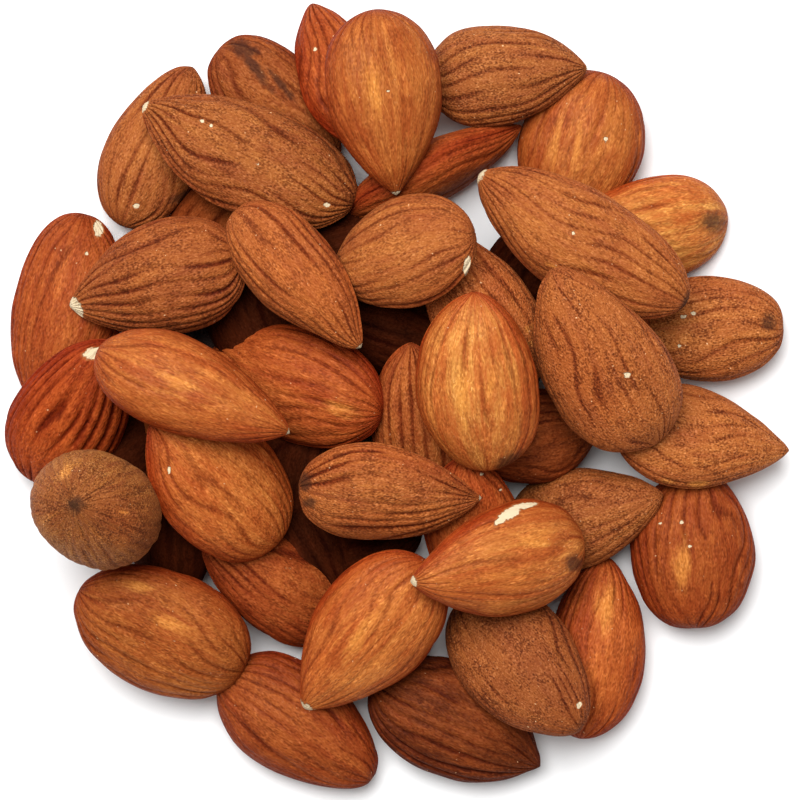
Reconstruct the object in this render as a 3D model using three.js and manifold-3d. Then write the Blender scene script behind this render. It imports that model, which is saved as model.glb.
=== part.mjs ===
// A heap of whole almond kernels in their brown skins, lying loose on a flat surface.
// Millimetres and degrees, +Z up, with the origin on the surface under the middle of the heap.
// Every kernel is one closed shape of its own size. The kernels are laid down one by one, the lowest first:
// each drops onto what lies there already and leans until its middle is as low as it gets.
// The kernels and a low mound, which stands for the ones buried inside, are then joined into one solid.
import * as THREE from 'three';
import { mergeVertices } from 'three/addons/utils/BufferGeometryUtils.js';
import Module from 'manifold-3d';

const wasm = await Module();
wasm.setup();

// ---- the kernels ----
// x, y: the middle of a kernel's outline as an eye sees it that looks straight down from EYE_HEIGHT
// turn: where its tip points, from +X towards +Y
// long, wide, thick: its size
// point: how pointed its tip is, from 0.55, round, to 0.9, sharp
// bow: how far the middle of its long axis bends to its left
// lean: [pitch, roll] of a kernel that its neighbours hold up, with pitch above 0 where the tip is up
const EYE_HEIGHT = 500;
const KERNELS = [
  // on the surface, or buried
  { x: -26.5, y: -3.0, turn: 100, long: 21.5, wide: 12.8, thick: 7.6, point: 0.7, bow: 0 },
  { x: -27.5, y: -15.5, turn: 90, long: 18.0, wide: 10.0, thick: 6.8, point: 0.7, bow: 0 },
  { x: -21.5, y: 20.5, turn: 60, long: 21.0, wide: 12.2, thick: 7.4, point: 0.7, bow: 0 },
  { x: -1.0, y: 9.0, turn: 165, long: 21.0, wide: 12.4, thick: 7.8, point: 0.7, bow: 0 },
  { x: 2.4, y: -2.6, turn: 97, long: 20.5, wide: 12.0, thick: 7.6, point: 0.7, bow: 0 },
  { x: -40.3, y: 10.8, turn: 255, long: 23.4, wide: 13.1, thick: 8.0, point: 0.62, bow: 0.6 },
  { x: -29.1, y: 30.4, turn: 66, long: 20.8, wide: 11.7, thick: 7.6, point: 0.7, bow: 0 },
  { x: -14.6, y: 35.6, turn: -41, long: 19.2, wide: 11.4, thick: 7.2, point: 0.75, bow: 0 },
  { x: -7.2, y: 39.2, turn: 112, long: 19.4, wide: 9.8, thick: 7.0, point: 0.75, bow: 0 },
  { x: 4.2, y: 27.6, turn: 27, long: 23.2, wide: 12.5, thick: 7.2, point: 0.8, bow: 0, lean: [0, 78] },
  { x: 21.2, y: 29.2, turn: 250, long: 21.0, wide: 14.6, thick: 8.6, point: 0.7, bow: 0.3 },
  { x: 29.3, y: 20.4, turn: 190, long: 22.0, wide: 12.8, thick: 7.8, point: 0.7, bow: 0 },
  { x: 35.2, y: -17.6, turn: 92, long: 19.4, wide: 14.8, thick: 9.2, point: 0.58, bow: 0 },
  { x: 23.4, y: -29.7, turn: 82, long: 22.0, wide: 12.0, thick: 8.0, point: 0.68, bow: -0.5 },
  { x: 6.8, y: -38.9, turn: -27, long: 22.4, wide: 13.7, thick: 8.4, point: 0.7, bow: 0 },
  { x: -12.2, y: -38.9, turn: -36, long: 22.0, wide: 13.3, thick: 8.2, point: 0.66, bow: 0.4 },
  { x: -28.4, y: -27.5, turn: 161, long: 21.6, wide: 15.8, thick: 8.6, point: 0.6, bow: 0 },
  { x: -14.8, y: -21.6, turn: 150, long: 21.4, wide: 12.4, thick: 7.8, point: 0.7, bow: 0 },
  { x: 15.2, y: -4.4, turn: 186, long: 18.0, wide: 11.4, thick: 7.6, point: 0.7, bow: 0 },
  { x: 9.6, y: 10.8, turn: 120, long: 22.0, wide: 13.0, thick: 8.0, point: 0.7, bow: 0 },
  { x: 22.4, y: -14.0, turn: 17, long: 19.8, wide: 12.0, thick: 7.6, point: 0.78, bow: 0 },
  { x: 8.6, y: -14.6, turn: 98, long: 17.0, wide: 11.6, thick: 7.4, point: 0.62, bow: 0 },
  { x: 35.5, y: 8.3, turn: 183, long: 20.8, wide: 12.8, thick: 8.0, point: 0.64, bow: 0 },
  { x: 24.5, y: 7.5, turn: 80, long: 18.0, wide: 12.0, thick: 7.4, point: 0.7, bow: 0 },
  // leaning on those
  { x: 36.2, y: -4.6, turn: -8, long: 21.8, wide: 12.4, thick: 7.8, point: 0.84, bow: 0 },
  { x: 14.4, y: -31.8, turn: -47, long: 21.4, wide: 13.8, thick: 8.4, point: 0.62, bow: 0 },
  { x: -39.3, y: -1.4, turn: 60, long: 20.8, wide: 13.6, thick: 8.4, point: 0.64, bow: 0 },
  { x: 12.7, y: 39.0, turn: 4, long: 19.4, wide: 12.9, thick: 8.0, point: 0.82, bow: 0 },
  { x: -22.1, y: -9.8, turn: 136, long: 21.8, wide: 14.6, thick: 8.6, point: 0.62, bow: 0 },
  { x: -12.4, y: 2.1, turn: 160, long: 23.0, wide: 13.8, thick: 8.4, point: 0.64, bow: 0 },
  { x: -29.3, y: 14.3, turn: 196, long: 21.6, wide: 13.8, thick: 8.4, point: 0.78, bow: 0 },
  { x: -18.3, y: 29.2, turn: 155, long: 27.4, wide: 13.6, thick: 8.4, point: 0.66, bow: 0.4 },
  { x: 21.8, y: 19.2, turn: 148, long: 28.6, wide: 12.6, thick: 8.6, point: 0.6, bow: 0.4 },
  { x: -4.1, y: -28.3, turn: 230, long: 23.8, wide: 14.1, thick: 8.4, point: 0.78, bow: 0, lean: [-15, -12] },
  { x: -36.1, y: -13.4, turn: -25, long: 19.0, wide: 15.8, thick: 13.4, point: 0.62, bow: 0, lean: [-76, 90] },
  // on top
  { x: -1.8, y: 35.7, turn: -83, long: 21.9, wide: 14.3, thick: 8.4, point: 0.84, bow: 0 },
  { x: 0.3, y: 17.5, turn: 195, long: 18.6, wide: 13.0, thick: 8.2, point: 0.68, bow: 0 },
  { x: 9.4, y: 2.2, turn: 94, long: 22.0, wide: 14.4, thick: 8.8, point: 0.62, bow: 0.3 },
  { x: 24.2, y: 5.0, turn: 121, long: 24.8, wide: 14.6, thick: 8.8, point: 0.74, bow: 0.5 },
  { x: -24.8, y: 1.0, turn: -23, long: 24.4, wide: 11.5, thick: 8.0, point: 0.84, bow: 0 },
  { x: -12.2, y: 14.6, turn: -47, long: 22.2, wide: 10.3, thick: 8.0, point: 0.78, bow: 0.4 },
  { x: -1.2, y: -11.2, turn: -3, long: 21.4, wide: 13.2, thick: 8.6, point: 0.84, bow: 0, lean: [0, 40] },
  { x: 11.7, y: -19.4, turn: 192, long: 22.8, wide: 13.6, thick: 8.4, point: 0.82, bow: 0 },
];
const BLUNT = 0.5;
const SIDE_POINT = 0.86;

// ---- the mound that stands for the buried kernels ----
const MOUND = { x: -5, y: 3, wide: 44, deep: 38, high: 2.5, lumps: 5, lump: 0.06 };
const FOOT_DEPTH = 1;

// ---- laying the kernels down ----
// PRESS and SQUEEZE are how far touching kernels run into one another, downwards and sideways.
const CELL = 0.5;
const REACH = 64;
const CELLS = (2 * REACH) / CELL;
const PRESS = 0.7;
const SQUEEZE = 0.7;
const STEEPEST = [24, 16];
const LEAN_STEPS = [8, 4, 2];
const LOWER_BY = 1e-6;
const PROBE = { sides: 96, rings: 64 };
const MOUND_PROBE = { sides: 360, rings: 90 };

// ---- the facets of the joined solid ----
const FACETS = { sides: 12, rings: 7 };
const MOUND_FACETS = { sides: 20, rings: 5 };
const FACET_SPREAD = 1.03;
const WELD = 1e-4;

const radians = (degrees) => (degrees * Math.PI) / 180;

// Half the width of a kernel, as a share of its widest place, at a share of its length from the blunt end.
function belly(share, blunt, point) {
  const widest = blunt / (blunt + point);
  const peak = widest ** blunt * (1 - widest) ** point;
  return (share ** blunt * (1 - share) ** point) / peak;
}

// A point of a kernel's skin that lies along +X with its tip first; around is an angle about that axis.
function skinPoint(kernel, share, around, spread = 1) {
  const halfWidth = 0.5 * kernel.wide * belly(share, BLUNT, kernel.point) * spread;
  const halfThick = 0.5 * kernel.thick * belly(share, BLUNT, SIDE_POINT * kernel.point) * spread;
  const bend = kernel.bow * (4 * share * (1 - share) - 0.5);
  return new THREE.Vector3(
    kernel.long * (share - 0.5),
    bend + halfWidth * Math.cos(around),
    halfThick * Math.sin(around),
  );
}

// Rings of points from the blunt end to the tip, closer together towards both ends.
function skinRings(kernel, { sides, rings }, spread = 1) {
  const points = [skinPoint(kernel, 0, 0)];
  for (let ring = 1; ring <= rings; ring += 1) {
    const share = 0.5 - 0.5 * Math.cos((Math.PI * ring) / (rings + 1));
    for (let side = 0; side < sides; side += 1) {
      points.push(skinPoint(kernel, share, (2 * Math.PI * side) / sides, spread));
    }
  }
  points.push(skinPoint(kernel, 1, 0));
  return points;
}

// The triangles of such rings, facing out.
function ringTriangles({ sides, rings }) {
  const triangles = [];
  const last = 1 + rings * sides;
  for (let side = 0; side < sides; side += 1) {
    const next = (side + 1) % sides;
    triangles.push(0, 1 + next, 1 + side);
    for (let ring = 0; ring < rings - 1; ring += 1) {
      const near = 1 + ring * sides;
      const far = near + sides;
      triangles.push(near + side, near + next, far + next);
      triangles.push(near + side, far + next, far + side);
    }
    const end = 1 + (rings - 1) * sides;
    triangles.push(end + side, end + next, last);
  }
  return triangles;
}

// A kernel's own turn: rolled about its length, pitched tip up, and headed where its tip points.
function attitude(kernel, [pitch, roll]) {
  return new THREE.Quaternion().setFromEuler(
    new THREE.Euler(radians(roll), radians(-pitch), radians(kernel.turn), 'ZYX'),
  );
}

// ---- the surface that the next kernel comes down on, as a grid of heights ----
const ground = new Float64Array(CELLS * CELLS);
const cellOf = (x, y) => Math.floor((x + REACH) / CELL) * CELLS + Math.floor((y + REACH) / CELL);

function raiseGround(points, at) {
  for (const point of points) {
    const cell = cellOf(point.x + at.x, point.y + at.y);
    ground[cell] = Math.max(ground[cell], point.z + at.z);
  }
}

function dropHeight(points, x, y) {
  let height = -Infinity;
  for (const point of points) {
    height = Math.max(height, ground[cellOf(point.x + x, point.y + y)] - point.z);
  }
  return height - PRESS;
}

// Where a kernel comes to lie: the lean, out of those near the last best one, that lets its middle sink lowest.
function layDown(kernel) {
  const slimmer = { ...kernel, long: kernel.long - 2 * SQUEEZE, wide: kernel.wide - 2 * SQUEEZE };
  const probe = skinRings(slimmer, PROBE);
  let best = null;
  let middle = 0.5 * kernel.thick;
  const tryLean = (lean) => {
    const turn = attitude(kernel, lean);
    const points = probe.map((point) => point.clone().applyQuaternion(turn));
    const nearer = 1 - middle / EYE_HEIGHT;
    const x = kernel.x * nearer;
    const y = kernel.y * nearer;
    return { lean, turn, points, at: new THREE.Vector3(x, y, dropHeight(points, x, y)) };
  };
  for (let pass = 0; pass < 2; pass += 1) {
    best = tryLean(best ? best.lean : kernel.lean ?? [0, 0]);
    for (const step of kernel.lean ? [] : LEAN_STEPS) {
      let moved = true;
      while (moved) {
        moved = false;
        for (const [up, over] of [[step, 0], [-step, 0], [0, step], [0, -step]]) {
          const lean = [best.lean[0] + up, best.lean[1] + over];
          if (lean.some((angle, index) => Math.abs(angle) > STEEPEST[index])) continue;
          const trial = tryLean(lean);
          if (trial.at.z < best.at.z - LOWER_BY) {
            best = trial;
            moved = true;
          }
        }
      }
    }
    middle = best.at.z;
  }
  raiseGround(best.points, best.at);
  return best;
}

// ---- solids ----
function solidOf(geometry) {
  const merged = mergeVertices(geometry, WELD);
  return new wasm.Manifold(new wasm.Mesh({
    numProp: 3,
    vertProperties: new Float32Array(merged.attributes.position.array),
    triVerts: new Uint32Array(merged.index.array),
  }));
}

function solidFrom(points, triangles) {
  return solidOf(new THREE.BufferGeometry().setFromPoints(points).setIndex(triangles));
}

function kernelSolid(kernel, lying) {
  const points = skinRings(kernel, FACETS, FACET_SPREAD);
  const placed = points.map((point) => point.applyQuaternion(lying.turn).add(lying.at));
  return solidFrom(placed, ringTriangles(FACETS));
}

// The mound, a low dome with a lumpy side. Its foot reaches below the surface, until the heap is cut flat.
function moundPoints({ sides, rings }) {
  const points = [new THREE.Vector3(MOUND.x, MOUND.y, -FOOT_DEPTH)];
  for (let ring = 0; ring < rings; ring += 1) {
    const climb = (0.5 * Math.PI * Math.max(ring - 1, 0)) / (rings - 1);
    const level = ring === 0 ? -FOOT_DEPTH : MOUND.high * Math.sin(climb);
    for (let side = 0; side < sides; side += 1) {
      const around = (2 * Math.PI * side) / sides;
      const reach = 0.5 * Math.cos(climb) * (1 + MOUND.lump * Math.sin(MOUND.lumps * around));
      points.push(new THREE.Vector3(
        MOUND.x + MOUND.wide * reach * Math.cos(around),
        MOUND.y + MOUND.deep * reach * Math.sin(around),
        level,
      ));
    }
  }
  points.push(new THREE.Vector3(MOUND.x, MOUND.y, MOUND.high));
  return points;
}

// What stands above the surface, so that the heap has a flat underside.
function aboveSurface(solid) {
  const block = new THREE.BoxGeometry(2 * REACH, 2 * REACH, REACH).translate(0, 0, 0.5 * REACH);
  block.deleteAttribute('normal');
  block.deleteAttribute('uv');
  return solid.intersect(solidOf(block));
}

function heapSolid() {
  let heap = solidFrom(moundPoints(MOUND_FACETS), ringTriangles(MOUND_FACETS));
  raiseGround(moundPoints(MOUND_PROBE), new THREE.Vector3());
  for (const kernel of KERNELS) {
    heap = heap.add(kernelSolid(kernel, layDown(kernel)));
  }
  const bodies = aboveSurface(heap).decompose();
  return bodies.sort((one, other) => other.volume() - one.volume())[0];
}

// The faces of a solid, moved so that the middle of its box is over the origin.
function centred(solid) {
  const mesh = solid.getMesh();
  const geometry = new THREE.BufferGeometry();
  geometry.setAttribute('position', new THREE.BufferAttribute(mesh.vertProperties, 3));
  geometry.setIndex(new THREE.BufferAttribute(mesh.triVerts, 1));
  geometry.computeBoundingBox();
  const middle = geometry.boundingBox.getCenter(new THREE.Vector3());
  return geometry.translate(-middle.x, -middle.y, 0);
}

const skin = new THREE.MeshStandardMaterial({ color: 0xb06a38, roughness: 0.7, metalness: 0 });
const heap = new THREE.Mesh(centred(heapSolid()), skin);
heap.name = 'almond_heap';

const model = new THREE.Group();
model.add(heap);

export default model;
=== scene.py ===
"""A loose heap of whole almond kernels in their brown skins, on a pale floor, seen from straight above.

Every kernel is a closed mesh of its own size, with real furrows. The kernels are laid down by the same rule
as in the heap's solid, so they lie where the solid has them, two of them to within a millimetre. Lengths are
in millimetres until a mesh is made.
"""

import itertools
import math

import bpy
import numpy as np
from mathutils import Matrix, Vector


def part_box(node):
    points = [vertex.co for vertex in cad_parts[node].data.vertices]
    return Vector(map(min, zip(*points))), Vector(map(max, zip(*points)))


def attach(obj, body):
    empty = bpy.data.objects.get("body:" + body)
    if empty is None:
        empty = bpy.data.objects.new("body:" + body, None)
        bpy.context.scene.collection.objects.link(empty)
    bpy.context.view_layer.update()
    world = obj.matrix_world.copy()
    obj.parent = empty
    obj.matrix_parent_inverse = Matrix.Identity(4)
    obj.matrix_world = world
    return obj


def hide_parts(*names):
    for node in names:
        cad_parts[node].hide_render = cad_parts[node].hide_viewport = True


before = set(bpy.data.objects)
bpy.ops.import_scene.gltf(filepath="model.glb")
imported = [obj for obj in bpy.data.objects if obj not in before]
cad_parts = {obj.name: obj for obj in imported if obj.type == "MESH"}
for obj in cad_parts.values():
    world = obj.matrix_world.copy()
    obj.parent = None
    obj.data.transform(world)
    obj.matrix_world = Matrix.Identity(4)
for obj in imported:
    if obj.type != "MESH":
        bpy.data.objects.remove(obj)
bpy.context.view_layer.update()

MM = 0.001
HEAP = "almond_heap"
EYE_HEIGHT = 500.0  # of the camera over the floor
VIEW_WIDTH = 96.0  # of floor that the picture shows


# ---- the kernels ----


def chip(x, y, long, wide, turn=0):
    """A place without skin that shows the white flesh, seen at x, y.

    long, wide: half its length and width; turn: where its length points. So too for the other marks.
    """
    return ("chip", x, y, long, wide, turn)


def stain(x, y, long, wide, turn=0):
    """A dark, soft-edged place on the skin."""
    return ("stain", x, y, long, wide, turn)


def pale(x, y, long, wide, turn=0):
    """A light, soft-edged place on the skin."""
    return ("pale", x, y, long, wide, turn)


def red_and_shade(x, y, long, wide, turn=0):
    """A redder, darker, soft-edged place: partly the skin's own colour, partly painted shade on lower sides
    and rims.
    """
    return ("red_and_shade", x, y, long, wide, turn)


def almond(x, y, turn, long, wide, thick, point, kind, skin, tone=1.0, bow=0.0, lean=None, tip=0.0,
           pole=0.0, marks=()):
    """One kernel.

    x, y: the middle of its outline as the camera sees it on the floor; turn: where its tip points, from +X
    towards +Y; long, wide, thick: its size; point: how pointed its tip is; bow: how far its middle bends to
    its left; lean: (pitch, roll) where its neighbours hold it up.
    kind: a key of KINDS; skin: a key of SKINS; tone: how light it is next to that skin; tip: how far from
    the tip the skin is chipped off; pole: how far the dark patch reaches round the blunt end; marks: what
    shows on its upper side.
    """
    return {
        "x": x, "y": y, "turn": turn, "long": long, "wide": wide, "thick": thick, "point": point,
        "bow": bow, "lean": lean, "kind": kind, "skin": skin, "tone": tone, "tip": tip, "pole": pole,
        "marks": marks,
    }


KERNELS = [
    # on the surface, or buried
    almond(-26.5, -3.0, 100, 21.5, 12.8, 7.6, 0.7, "buried", "umber"),
    almond(-27.5, -15.5, 90, 18.0, 10.0, 6.8, 0.7, "buried", "deep"),
    almond(-21.5, 20.5, 60, 21.0, 12.2, 7.4, 0.7, "buried", "umber"),
    almond(-1.0, 9.0, 165, 21.0, 12.4, 7.8, 0.7, "buried", "deep"),
    almond(2.4, -2.6, 97, 20.5, 12.0, 7.6, 0.7, "dark", "brown", tone=1.20),
    almond(-40.3, 10.8, 255, 23.4, 13.1, 8.0, 0.62, "red", "rust", tone=0.90, bow=0.6,
           marks=(chip(-36.2, 20.5, 1.1, 0.65, 100), chip(-37.6, 17.6, 0.3, 0.3))),
    almond(-29.1, 30.4, 66, 20.8, 11.7, 7.6, 0.7, "dusty", "tan", tone=0.89,
           marks=(chip(-31.6, 23.3, 0.5, 0.35), stain(-26.0, 24.4, 1.6, 0.8, 20))),
    almond(-14.6, 35.6, -41, 19.2, 11.4, 7.2, 0.75, "dark", "brown", tone=0.90,
           marks=(stain(-18.8, 42.2, 2.2, 1.2, -20), stain(-17.4, 39.8, 3.6, 0.8, -52),
                  stain(-14.4, 38.0, 3.0, 0.5, -50))),
    almond(-7.2, 39.2, 112, 19.4, 9.8, 7.0, 0.75, "red", "rust", marks=(chip(-10.2, 42.1, 0.3, 0.3),)),
    almond(4.2, 27.6, 27, 23.2, 12.5, 7.2, 0.8, "dark", "rust", lean=(0, 78)),
    almond(21.2, 29.2, 250, 21.0, 14.6, 8.6, 0.7, "waxy", "orange", tone=0.84, bow=0.3,
           marks=(chip(24.7, 31.3, 0.5, 0.3, 100), pale(18.8, 30.6, 4.0, 0.7, 80),
                  pale(21.2, 30.8, 3.5, 0.6, 80))),
    almond(29.3, 20.4, 190, 22.0, 12.8, 7.8, 0.7, "waxy", "golden", marks=(stain(37.6, 21.4, 1.7, 1.5),)),
    almond(35.2, -17.6, 92, 19.4, 14.8, 9.2, 0.58, "red", "rust", tone=0.80,
           marks=(chip(33.8, -14.6, 0.35, 0.3), chip(31.2, -14.9, 0.3, 0.25), chip(34.8, -17.6, 0.3, 0.25),
                  pale(34.0, -19.5, 3.0, 1.4, 90), red_and_shade(34.6, -25.0, 3.6, 1.6))),
    almond(23.4, -29.7, 82, 22.0, 12.0, 8.0, 0.68, "red", "rust", bow=-0.5,
           marks=(pale(24.6, -25.0, 3.5, 1.2, 85),)),
    almond(6.8, -38.9, -27, 22.4, 13.7, 8.4, 0.7, "ribbed", "umber", tone=0.85),
    almond(-12.2, -38.9, -36, 22.0, 13.3, 8.2, 0.66, "red", "rust", tone=0.74, bow=0.4, tip=0.6),
    almond(-28.6, -27.6, 153, 21.8, 15.4, 8.6, 0.56, "red", "orange", tone=0.74,
           marks=(pale(-27.6, -27.0, 3.5, 1.4, -15), pale(-31.0, -22.5, 2.0, 0.8, -10))),
    almond(-14.8, -21.6, 150, 21.4, 12.4, 7.8, 0.7, "dark", "rust", tone=0.80,
           marks=(chip(-13.4, -20.2, 0.35, 0.25),)),
    almond(15.2, -4.4, 186, 18.0, 11.4, 7.6, 0.7, "dark", "umber", tone=1.38),
    almond(9.6, 10.8, 120, 22.0, 13.0, 8.0, 0.7, "granular", "brown", tone=1.36,
           marks=(pale(15.4, 8.6, 0.9, 0.5, 40), pale(15.6, 6.8, 0.7, 0.5))),
    almond(22.4, -14.0, 17, 19.8, 12.0, 7.6, 0.78, "granular", "tan", tone=0.84),
    almond(8.6, -14.6, 98, 17.0, 11.6, 7.4, 0.62, "dark", "rust", tone=1.25,
           marks=(chip(9.8, -8.9, 0.3, 0.2), chip(12.1, -10.8, 0.3, 0.2))),
    almond(35.5, 8.5, 183, 20.8, 12.4, 8.0, 0.64, "granular", "tan",
           marks=(chip(35.2, 10.4, 0.4, 0.3), chip(34.0, 10.0, 0.45, 0.3), chip(33.6, 6.5, 0.35, 0.3),
                  stain(44.2, 9.3, 1.3, 1.0, 90))),
    almond(24.5, 7.5, 80, 18.0, 12.0, 7.4, 0.7, "buried", "umber"),
    # leaning on those
    # its two pale marks are a pale scuff, partly a painted highlight
    almond(36.2, -4.6, -8, 21.8, 12.4, 7.8, 0.84, "granular", "tan", tone=1.03,
           marks=(pale(32.0, -9.9, 1.4, 0.5, -6), pale(35.8, -10.1, 1.5, 0.6, 4))),
    almond(14.4, -31.8, -47, 21.4, 13.8, 8.4, 0.62, "granular", "brown", tone=0.80,
           marks=(chip(21.5, -36.6, 0.5, 0.35, 60),)),
    almond(-39.3, -1.4, 60, 20.8, 13.6, 8.4, 0.64, "ribbed", "red", tone=0.90,
           marks=(chip(-36.6, 5.6, 1.6, 0.8, 10),)),
    almond(12.7, 39.0, 4, 19.4, 12.9, 8.0, 0.82, "granular", "tan", tone=0.80, tip=0.3),
    almond(-22.1, -9.8, 136, 21.8, 14.6, 8.6, 0.62, "red", "orange", tone=0.98,
           marks=(chip(-27.7, -8.4, 0.55, 0.25, 80),)),
    almond(-12.4, 2.1, 160, 23.0, 13.8, 8.4, 0.64, "red", "rust", marks=(pale(-7.4, -0.8, 3.0, 1.4, -25),)),
    almond(-29.3, 14.3, 196, 21.6, 13.8, 8.4, 0.78, "furrowed", "brown", tone=0.90, tip=1.2,
           marks=(chip(-38.9, 10.8, 2.0, 0.9, 108),)),
    almond(-18.3, 29.2, 155, 27.4, 13.6, 8.4, 0.66, "furrowed", "tan", tone=0.82, bow=0.4, tip=1.1,
           marks=(chip(-23.8, 33.5, 0.4, 0.3), chip(-22.6, 32.9, 0.3, 0.25), chip(-17.3, 28.4, 0.4, 0.3),
                  chip(-8.8, 23.4, 0.5, 0.35))),
    almond(21.8, 19.2, 148, 28.6, 12.6, 8.6, 0.6, "dusty", "tan", tone=0.97, bow=0.4, tip=1.4, pole=1.6,
           marks=(pale(18.0, 16.1, 1.6, 0.35, -20), chip(20.9, 20.0, 0.4, 0.3))),
    almond(-4.1, -28.3, 230, 23.8, 14.1, 8.4, 0.78, "waxy", "orange", tone=0.98, lean=(-15, -12), tip=1.6,
           marks=(pale(-5.5, -29.0, 3.5, 1.2, 60), red_and_shade(-10.0, -32.5, 5.0, 1.6, 60))),
    almond(-36.1, -13.4, -25, 19.0, 15.8, 13.4, 0.62, "crumpled", "ochre", tone=0.88, lean=(-76, 90),
           pole=1.2,
           marks=(pale(-33.1, -13.5, 0.9, 0.3, -10), pale(-40.0, -8.6, 2.6, 0.7, 40),
                  red_and_shade(-33.0, -14.6, 5.0, 3.4, -50))),
    # on top
    almond(-1.8, 35.7, -83, 21.9, 14.3, 8.4, 0.84, "waxy", "orange", tone=0.80, tip=0.9,
           marks=(chip(2.5, 26.6, 0.4, 0.25, 80), chip(-1.4, 37.0, 0.25, 0.25),
                  pale(-3.0, 37.0, 3.5, 1.0, 100))),
    almond(0.3, 17.5, 195, 18.6, 13.0, 8.2, 0.68, "dusty", "tan", tone=0.93,
           marks=(chip(8.0, 16.1, 1.3, 0.45, 80),)),
    almond(9.4, 2.2, 94, 22.0, 14.4, 8.8, 0.62, "waxy", "golden", tone=0.97, bow=0.3,
           marks=(pale(7.6, 0.6, 5.0, 1.0, 88), pale(10.8, 1.4, 4.0, 0.8, 80),
                  stain(13.0, -7.7, 2.6, 1.3, 42),
                  red_and_shade(14.6, -2.0, 8.0, 2.8, 80), red_and_shade(5.0, -5.0, 8.0, 3.0, -55))),
    almond(24.2, 5.0, 121, 24.8, 14.6, 8.8, 0.74, "granular", "tan", tone=0.97, bow=0.5,
           marks=(chip(27.2, 3.0, 0.55, 0.45), red_and_shade(22.5, 2.5, 12.0, 6.5, 121))),
    almond(-24.8, 1.0, -23, 24.4, 11.5, 8.0, 0.84, "waxy", "orange", tone=0.84, tip=0.55,
           marks=(pale(-27.0, 1.8, 4.0, 1.8, -20), red_and_shade(-19.0, -3.6, 6.0, 1.6, -22))),
    almond(-12.2, 14.6, -47, 22.2, 10.3, 8.0, 0.78, "dusty", "tan", bow=0.4, tip=0.6,
           marks=(red_and_shade(-12.0, 14.0, 13.0, 6.0, -47),)),
    almond(-1.2, -11.2, -3, 21.4, 13.2, 8.6, 0.84, "furrowed", "tan", lean=(0, 40), tip=0.5, pole=1.0,
           marks=(stain(-11.4, -9.8, 1.4, 0.9, 90), stain(-11.0, -12.4, 1.0, 0.8),
                  red_and_shade(-3.0, -14.8, 10.0, 2.8, -2))),
    almond(11.7, -19.4, 192, 22.8, 13.6, 8.4, 0.82, "waxy", "amber", tone=0.93, tip=0.9,
           marks=(chip(13.2, -13.6, 1.7, 0.75, 30), chip(14.9, -12.7, 1.7, 0.4, 8),
                  chip(11.9, -14.5, 0.9, 0.4, 35), pale(16.4, -16.8, 3.0, 1.5, 10),
                  stain(20.9, -19.6, 1.5, 1.1), red_and_shade(11.5, -22.0, 9.0, 2.4, 8))),
]
# more buried kernels, which lie on the floor and show only as dark places between the others; their
# near-black skin is painted shade
FILLERS = [
    almond(-33.5, -7.0, 40, 20.0, 11.5, 6.0, 0.7, "buried", "deep"),
    almond(-11.5, -15.5, 120, 19.0, 11.5, 6.4, 0.7, "buried", "deep"),
    almond(16.5, 16.0, 60, 20.0, 12.0, 6.6, 0.7, "buried", "deep"),
    almond(-8.0, 17.5, 20, 20.0, 12.0, 7.0, 0.7, "buried", "deep"),
    almond(-17.0, 9.5, 120, 20.0, 12.0, 7.4, 0.7, "buried", "deep"),
    almond(-12.5, -7.0, 70, 20.0, 11.5, 7.0, 0.7, "buried", "deep"),
    almond(-5.5, -18.0, 15, 17.0, 10.0, 5.6, 0.7, "buried", "deep"),
]
BLUNT = 0.5  # how pointed the other end of a kernel is
SIDE_POINT = 0.86  # how pointed a tip is from the side, as a share of its point from above

# ---- the mound that stands for the buried kernels ----
MOUND = {"x": -5, "y": 3, "wide": 44, "deep": 38, "high": 2.5, "lumps": 5, "lump": 0.06}
FOOT_DEPTH = 1

# ---- laying the kernels down ----
CELL = 0.5  # side of a cell of the ground's grid
REACH = 64  # of that grid, from the middle
CELLS = int(2 * REACH / CELL)
PRESS = 0.7  # how far a kernel sinks into what it lies on
SQUEEZE = 0.7  # how much is left out all round when it drops
STEEPEST = (24, 16)  # pitch and roll, in degrees
LEAN_STEPS = (8, 4, 2)  # degrees
LOWER_BY = 1e-6  # what a lean has to gain
PROBE = (96, 64)  # sides, rings
MOUND_PROBE = (360, 90)

# ---- the skins: (ridges, furrows) in sRGB ----
SKINS = {
    "orange": ((182, 105, 46), (157, 74, 29)),
    "golden": ((194, 128, 60), (171, 87, 37)),
    "amber": ((187, 114, 52), (163, 80, 33)),
    "tan": ((172, 102, 46), (140, 69, 33)),
    "brown": ((161, 90, 40), (126, 59, 27)),
    "ochre": ((164, 103, 46), (126, 64, 30)),
    "rust": ((168, 86, 36), (140, 58, 22)),
    "red": ((176, 80, 31), (136, 50, 18)),
    "umber": ((130, 62, 25), (80, 32, 10)),
    # deep: near-black, painted shade for the buried kernels low in the heap
    "deep": ((66, 24, 7), (40, 13, 3)),
}
EDGE_PAINTED_SHADE = np.array([0.64, 0.31, 0.24])  # painted shade: what the light of a skin is multiplied by round a kernel's edge, where the light falls off
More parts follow.
